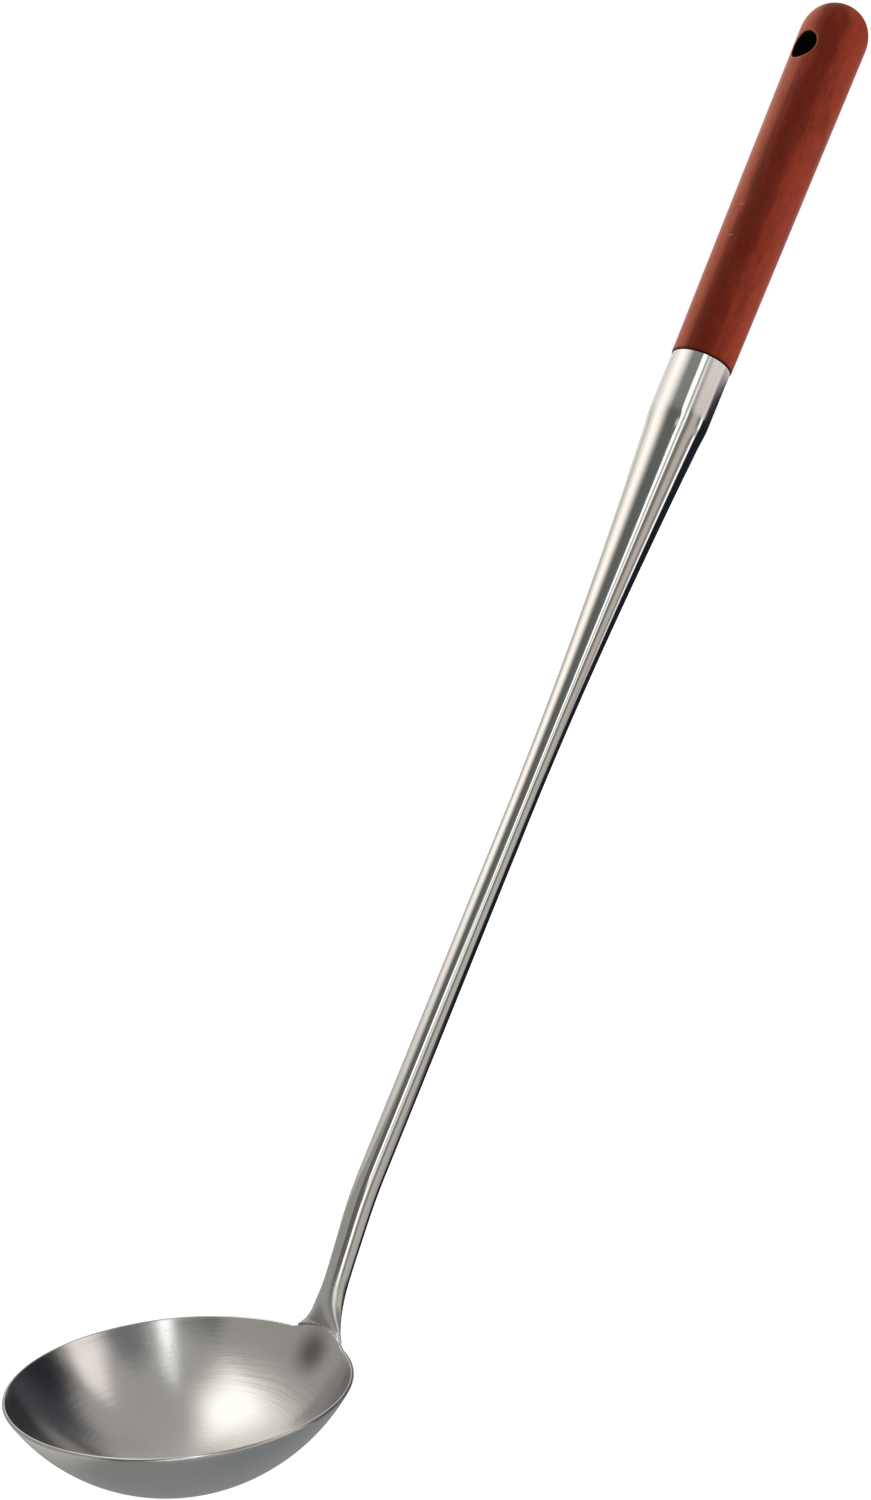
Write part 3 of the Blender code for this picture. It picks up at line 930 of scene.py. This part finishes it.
def wood_finish(bowl, tube, grip):
    """Red-brown wood under satin lacquer, with short dark pores and a few nicks, painted light on one side,
    and painted shade in the joint and the hole.
    """
    material, tree, shader = new_material("lacquered_grip_wood")
    place = along_handle(tree, bowl, tube)
    fibres = use(tree, brushing(), Vector=vectors(tree, "MULTIPLY", place, WOOD_FIBRES))
    marks = use(tree, handling(), Vector=place, Rarity=0.72)
    tone = wood_tone(tree, place, fibres)
    pale = remap(tree, tone, 0.6, 1.2, smoothly=True)
    wood = mix(tree, pale, solid(grip.dark_wood), solid(grip.light_wood))
    # Painted light: the wood is paler on one side of the grip
    painted_light = side_of_grip(tree, place, PAINTED_LIGHT_SIDE, 0.74, 0.97)
    painted_light = maths(tree, "MULTIPLY", painted_light, remap(tree, tone, 0.5, 1.1, 0.45, 1.0))
    wood = mix(tree, painted_light, wood, solid(PAINTED_LIGHT_COLOUR))
    pore = texture(tree, vectors(tree, "MULTIPLY", place, WOOD_PORES), 1.0, 1.0)
    pores = remap(tree, pore, 0.64, 0.72)
    wood = mix(tree, maths(tree, "MULTIPLY", pores, 0.5), wood, solid(PORE_STAIN_AND_JOINT_SHADE))
    for nick in NICKS:
        offset = vectors(tree, "MULTIPLY", vectors(tree, "SUBTRACT", place, nick), NICK_SHAPE)
        chipped = remap(tree, vectors(tree, "LENGTH", offset), *NICK_REACH, 0.7, 0.0)
        wood = mix(tree, chipped, wood, solid(BARE_WOOD))
    # Painted shade along the joint with the socket
    joint_shade = remap(tree, height_of(tree, place), *JOINT_SHADE_HEIGHTS, 0.7, 0.0)
    wood = mix(tree, joint_shade, wood, solid(PORE_STAIN_AND_JOINT_SHADE))
    from_hole = vectors(tree, "SUBTRACT", place, (0.0, 0.0, grip.grip_length - grip.hole_from_end))
    reach = vectors(tree, "LENGTH", vectors(tree, "MULTIPLY", from_hole, (0.0, 1.0, 1.0)))
    edge = grip.hole_radius + 0.5 * grip.hole_mouth
    rubbed = remap(tree, reach, edge + 0.5 * grip.hole_mouth, edge, 0.0, 0.8)
    wood = mix(tree, rubbed, wood, solid(BARE_WOOD))
    # Painted shade inside the drilled hole
    hole_shade = remap(tree, reach, edge, grip.hole_radius + 0.1 * grip.hole_mouth)
    wood = mix(tree, hole_shade, wood, solid(PAINTED_HOLE_SHADE))
    scratched = maths(tree, "MULTIPLY", marks["Scratches"], 0.2)
    lacquer = remap(tree, worn(tree, fibres, marks), *WEAR, *LACQUER_ROUGHNESS)
    relief = maths(tree, "MULTIPLY_ADD", pores, -1.5, fibres["Height"])
    set_shader(
        tree,
        shader,
        Base_Color=mix(tree, scratched, wood, solid(BARE_WOOD)),
        Roughness=maths(tree, "MULTIPLY_ADD", hole_shade, 0.4, lacquer),
        Specular_IOR_Level=0.1,
        Normal=bump(tree, relief, WOOD_RELIEF),
    )
    return material


# Stage


class Card(NamedTuple):
    """A soft-edged card of the studio that the steel mirrors.

    Its place is a direction from the ladle. centre, half_width and edge are degrees round an axis;
    low, high and fade are measured along that axis, from -1 below to 1 above. The axis is the handle,
    counted from the side that faces up and away from it, or for upright cards the vertical, counted
    from the handle's side. A card that is only shine is mirrored by the steel but casts no light on
    the wood and the floor.
    """

    centre: float
    half_width: float
    edge: float
    low: float
    high: float
    fade: float
    colour: tuple
    power: float
    upright: bool = False
    only_shine: bool = False


# Light of the dark room, and the cards in it, each laid over those before it
ROOM = (0.018, 0.020, 0.032, 1.0)
COOL = (0.97, 1.0, 1.0)
STUDIO = {
    "low floor": Card(0, 200, 1, -2.0, -0.15, 0.1, (0.88, 0.97, 1.0), 0.30),
    "floor behind": Card(-133, 40, 14, -2.0, -0.06, 0.08, (0.96, 0.99, 1.0), 0.33),
    "rim card": Card(-128, 16, 6, -0.05, 0.25, 0.04, (1.0, 0.98, 0.86), 0.6),
    "far corner": Card(35, 30, 15, 0.05, 0.6, 0.1, (0.84, 0.88, 1.0), 0.09, True),
    "ceiling": Card(0, 200, 1, 0.63, 2.0, 0.11, (1.0, 0.97, 0.95), 0.52, True, True),
    "ceiling's side": Card(40, 15, 8, 0.50, 0.80, 0.10, (1.0, 0.97, 0.95), 0.46, True, True),
    "dark corner": Card(-78, 15, 8, 0.52, 0.87, 0.05, (0.9, 0.95, 1.0), 0.24, True),
    "back wall": Card(170, 30, 10, 0.42, 0.75, 0.08, (1.0, 0.98, 0.96), 0.54, True),
    "front of the room": Card(20, 30, 8, -2.0, 0.42, 0.12, (0.96, 1.0, 0.95), 0.34),
    "dark front": Card(20, 30, 8, -2.0, 0.30, 0.12, (0.95, 1.0, 0.93), 0.18),
    "left wall": Card(-88, 30, 6, -2.0, 0.85, 0.1, (1.0, 0.98, 0.93), 0.64),
    "left lower wall": Card(-35, 36, 10, -2.0, 0.1, 0.1, (1.0, 0.96, 0.90), 0.70),
    "left edge": Card(-99, 9, 4, 0.24, 0.55, 0.04, (1.0, 0.98, 0.93), 1.05),
    "left upper wall": Card(-75, 18, 8, 0.30, 0.64, 0.08, (1.0, 0.97, 0.93), 1.0),
    "soft box's wing": Card(-9, 13, 9, 0.36, 0.62, 0.06, (1.0, 0.96, 0.92), 0.85),
    "left soft box": Card(-36, 27, 24, 0.07, 0.79, 0.09, (1.0, 0.96, 0.90), 1.65),
    "soft box's middle": Card(-34, 19, 20, 0.43, 0.79, 0.09, (1.0, 0.96, 0.91), 2.05),
    "brown gap": Card(90, 12, 5, -2.0, 0.34, 0.02, (1.0, 0.88, 0.76), 0.29),
    "strip skirt": Card(70, 9, 4, -0.75, 0.15, 0.05, (0.96, 1.0, 0.97), 1.05, only_shine=True),
    "between the strips": Card(68, 8, 4, 0.15, 0.36, 0.04, (0.96, 1.0, 0.97), 0.70, only_shine=True),
    "right upper wall": Card(83, 17, 4, 0.34, 0.45, 0.02, (1.0, 0.96, 0.94), 0.72),
    "foot of the strip": Card(63, 6, 3, -0.75, -0.02, 0.06, COOL, 2.3, only_shine=True),
    "strip": Card(51, 6, 3, -0.02, 0.11, 0.04, COOL, 2.5, only_shine=True),
    "head of the strip": Card(59, 3.8, 2.5, 0.11, 0.34, 0.04, COOL, 2.4, only_shine=True),
    "top of the strip": Card(60.5, 2.6, 2.0, 0.34, 0.42, 0.04, COOL, 2.4, only_shine=True),
    "second strip": Card(75, 3.2, 2.5, 0.11, 0.36, 0.05, COOL, 1.8, only_shine=True),
    "right wall": Card(116, 21, 7, -2.0, 0.45, 0.06, (1.0, 0.94, 0.88), 0.70),
    "right lower wall": Card(140, 23, 7, -2.0, 0.04, 0.05, (1.0, 0.97, 0.95), 0.62),
    "edge gap": Card(127, 6, 4, 0.18, 0.345, 0.02, (1.0, 0.94, 0.88), 0.32),
    "edge strip": Card(141, 4.5, 3, 0.19, 0.35, 0.02, (1.0, 1.0, 1.0), 1.9, only_shine=True),
    "right wall's head": Card(122, 30, 8, 0.332, 0.45, 0.006, (1.0, 0.95, 0.90), 0.98),
    "pink lower card": Card(155, 62, 8, 0.361, 0.48, 0.002, (1.0, 0.91, 0.89), 1.15),
    "tall strip": Card(-111, 5, 3, 0.45, 0.88, 0.08, COOL, 2.4, True, True),
    "tall strip's head": Card(-108, 10, 7, 0.86, 0.98, 0.05, COOL, 1.4, True, True),
    "pink upper card": Card(107, 19, 9, 0.70, 0.985, 0.02, (1.0, 0.92, 0.90), 1.45, only_shine=True),
    "card behind": Card(-97, 8, 4, 0.42, 0.66, 0.04, (1.0, 0.97, 0.88), 1.8),
}

# Side from which the key light shines
KEY_SIDE = (0.62, -0.70, 0.35)

# Corners of the flag beside the bowl, and the grey light that it gives
FLAG_CORNERS = ((-0.293, -0.049, 0.0), (-0.049, 0.241, 0.0), (-0.293, -0.049, 0.319))
FLAG_LIGHT = (0.445, 0.43, 0.415, 1.0)


def studio_card():
    """Lays one card over what is behind it."""

    def fill(tree, given):
        past = maths(tree, "SUBTRACT", given["Turn"], given["Centre"])
        away = maths(tree, "ABSOLUTE", maths(tree, "WRAP", past, math.pi, -math.pi))
        inner = maths(tree, "SUBTRACT", given["Half Width"], given["Edge"])
        outer = maths(tree, "ADD", given["Half Width"], given["Edge"])
        mask = remap(tree, away, inner, outer, 1.0, 0.0, smoothly=True)
        for bound, start, end in (("Low", 0.0, 1.0), ("High", 1.0, 0.0)):
            first = maths(tree, "SUBTRACT", given[bound], given["Fade"])
            last = maths(tree, "ADD", given[bound], given["Fade"])
            within = remap(tree, given["Rise"], first, last, start, end, smoothly=True)
            mask = maths(tree, "MULTIPLY", mask, within)
        mask = maths(tree, "MULTIPLY", mask, given["Share"])
        return {"Light": mix(tree, mask, given["Behind"], given["Card"])}

    numbers = ("Turn", "Rise", "Centre", "Half Width", "Edge", "Low", "High", "Fade", "Share")
    inputs = {"Behind": "Color", "Card": "Color"} | dict.fromkeys(numbers, "Float")
    return shared_group("studio_card", inputs, {"Light": "Color"}, fill)


def light_world(tube):
    """The studio round the ladle: white to the camera, cards of light to the steel."""
    world = bpy.data.worlds.new("studio")
    world.use_nodes = True
    tree = world.node_tree
    handle = Vector((math.cos(tube.handle_angle), 0, math.sin(tube.handle_angle)))
    away = Vector((-handle.z, 0, handle.x))
    direction = add(tree, "ShaderNodeTexCoord").outputs["Generated"]
    to_side = vectors(tree, "DOT_PRODUCT", direction, (0, -1, 0))
    to_away = vectors(tree, "DOT_PRODUCT", direction, away)
    turn = maths(tree, "ARCTAN2", to_side, to_away)
    rise = vectors(tree, "DOT_PRODUCT", direction, handle)
    parts = add(tree, "ShaderNodeSeparateXYZ", {"Vector": direction}).outputs
    bearing = maths(tree, "ARCTAN2", parts["Y"], parts["X"])
    ray = add(tree, "ShaderNodeLightPath").outputs
    light = ROOM
    for name, card in STUDIO.items():
        sockets = {
            "Behind": light,
            "Card": solid(part * card.power for part in card.colour),
            "Turn": bearing if card.upright else turn,
            "Rise": parts["Z"] if card.upright else rise,
            "Centre": math.radians(card.centre),
            "Half Width": math.radians(card.half_width),
            "Edge": math.radians(card.edge),
            "Low": card.low,
            "High": card.high,
            "Fade": card.fade,
            "Share": ray["Is Glossy Ray"] if card.only_shine else 1.0,
        }
        shown = add(tree, "ShaderNodeGroup", sockets, node_tree=studio_card(), label=name)
        light = shown.outputs["Light"]
    seen = mix(tree, ray["Is Camera Ray"], light, (1.0, 1.0, 1.0, 1.0))
    tree.links.new(seen, tree.nodes["Background"].inputs["Color"])
    bpy.context.scene.world = world


def lay_floor(stage):
    """A pale floor that the steel doesn't mirror, so that the studio's cards stay plain in it."""
    bm = bmesh.new()
    bmesh.ops.create_grid(bm, x_segments=1, y_segments=1, size=stage.floor_size / 2)
    floor = guide(bm, "floor")
    material, tree, shader = new_material("pale_floor")
    floor_colour = solid(stage.floor)
    set_shader(tree, shader, Base_Color=floor_colour, Roughness=0.9, Emission_Color=floor_colour)
    shader.inputs["Emission Strength"].default_value = stage.floor_glow
    floor.data.materials.append(material)
    floor.visible_glossy = False
    floor.visible_diffuse = False


def hang_flag():
    """A grey flag beside the bowl, seen only in the steel, that hides the soft box from its far wall."""
    bm = bmesh.new()
    bm.faces.new([bm.verts.new(corner) for corner in FLAG_CORNERS])
    flag = guide(bm, "flag")
    material = bpy.data.materials.new("grey_flag")
    material.use_nodes = True
    tree = material.node_tree
    tree.nodes.clear()
    glow = add(tree, "ShaderNodeEmission", {"Color": FLAG_LIGHT}).outputs["Emission"]
    add(tree, "ShaderNodeOutputMaterial", {"Surface": glow})
    flag.data.materials.append(material)
    for ray in ("camera", "diffuse", "transmission", "volume_scatter", "shadow"):
        setattr(flag, "visible_" + ray, False)


def hang_key(stage):
    """One wide soft light, which the steel doesn't mirror."""
    light = bpy.data.lights.new("soft_key", "SUN")
    light.energy = stage.key_strength
    light.angle = stage.key_angle
    lamp = bpy.data.objects.new("soft_key", light)
    lamp.rotation_euler = Vector(KEY_SIDE).to_track_quat("Z", "Y").to_euler()
    lamp.visible_glossy = False
    bpy.context.scene.collection.objects.link(lamp)


def set_camera(stage):
    data = bpy.data.cameras.new("camera")
    data.lens = stage.lens
    data.clip_start = 10 * MM
    camera = bpy.data.objects.new("camera", data)
    camera.location = stage.camera_place
    camera.rotation_euler = stage.camera_turn
    bpy.context.scene.collection.objects.link(camera)
    bpy.context.scene.camera = camera


# Operators, one for each piece and one for the stage


class LADLE_OT_bowl(bpy.types.Operator):
    """Press the bowl out of sheet, with its tongue"""

    bl_idname = "ladle.bowl"
    bl_label = "Bowl"

    def execute(self, context):
        ladle = context.scene.ladle
        finish_piece(build_bowl(ladle.bowl), "bowl", bowl_finish(ladle.bowl))
        return {"FINISHED"}


class LADLE_OT_shaft(bpy.types.Operator):
    """Draw the tube from its fanned foot to its socket"""

    bl_idname = "ladle.shaft"
    bl_label = "Shaft"

    def execute(self, context):
        ladle = context.scene.ladle
        tube = build_shaft(ladle.bowl, ladle.shaft, ladle.weld)
        finish_piece(tube, "shaft", shaft_finish(ladle.bowl, ladle.shaft))
        return {"FINISHED"}


class LADLE_OT_weld(bpy.types.Operator):
    """Lay the weld between the tongue and the foot"""

    bl_idname = "ladle.weld"
    bl_label = "Weld"

    def execute(self, context):
        ladle = context.scene.ladle
        weld = build_weld(ladle.bowl, ladle.weld)
        finish_piece(weld, "weld_seam", weld_finish(ladle.weld))
        return {"FINISHED"}


class LADLE_OT_grip(bpy.types.Operator):
    """Turn and drill the wooden grip"""

    bl_idname = "ladle.grip"
    bl_label = "Grip"

    def execute(self, context):
        ladle = context.scene.ladle
        wood = build_grip(ladle.bowl, ladle.shaft, ladle.grip)
        finish_piece(wood, "grip", wood_finish(ladle.bowl, ladle.shaft, ladle.grip))
        return {"FINISHED"}


class LADLE_OT_stage(bpy.types.Operator):
    """Set up the floor, the light and the camera"""

    bl_idname = "ladle.stage"
    bl_label = "Stage"

    def execute(self, context):
        ladle = context.scene.ladle
        lay_floor(ladle.stage)
        hang_key(ladle.stage)
        hang_flag()
        light_world(ladle.shaft)
        set_camera(ladle.stage)
        context.scene.view_settings.view_transform = "Standard"
        return {"FINISHED"}


OPERATORS = (LADLE_OT_stage, LADLE_OT_bowl, LADLE_OT_shaft, LADLE_OT_weld, LADLE_OT_grip)


class LADLE_PT_panel(bpy.types.Panel):
    """Lists the ladle's pieces and their settings"""

    bl_label = "Wok Ladle"
    bl_space_type = "VIEW_3D"
    bl_region_type = "UI"
    bl_category = "Ladle"

    def draw(self, context):
        for operator in OPERATORS:
            self.layout.operator(operator.bl_idname)
        for name in LadleSettings.__annotations__:
            settings = getattr(context.scene.ladle, name)
            box = self.layout.box()
            box.label(text=name.capitalize())
            for value in settings.__annotations__:
                box.prop(settings, value)


CLASSES = (
    BowlSettings,
    ShaftSettings,
    WeldSettings,
    GripSettings,
    StageSettings,
    LadleSettings,
    *OPERATORS,
    LADLE_PT_panel,
)


def register():
    for cls in CLASSES:
        bpy.utils.register_class(cls)
    bpy.types.Scene.ladle = PointerProperty(
        type=LadleSettings, name="Ladle", description="Sizes and colours of the ladle"
    )


def unregister():
    del bpy.types.Scene.ladle
    for cls in reversed(CLASSES):
        bpy.utils.unregister_class(cls)


def main():
    """Build the stage and the pieces."""
    register()
    bpy.ops.ladle.stage()
    bpy.ops.ladle.bowl()
    bpy.ops.ladle.shaft()
    bpy.ops.ladle.weld()
    bpy.ops.ladle.grip()


if __name__ == "__main__":
    main()
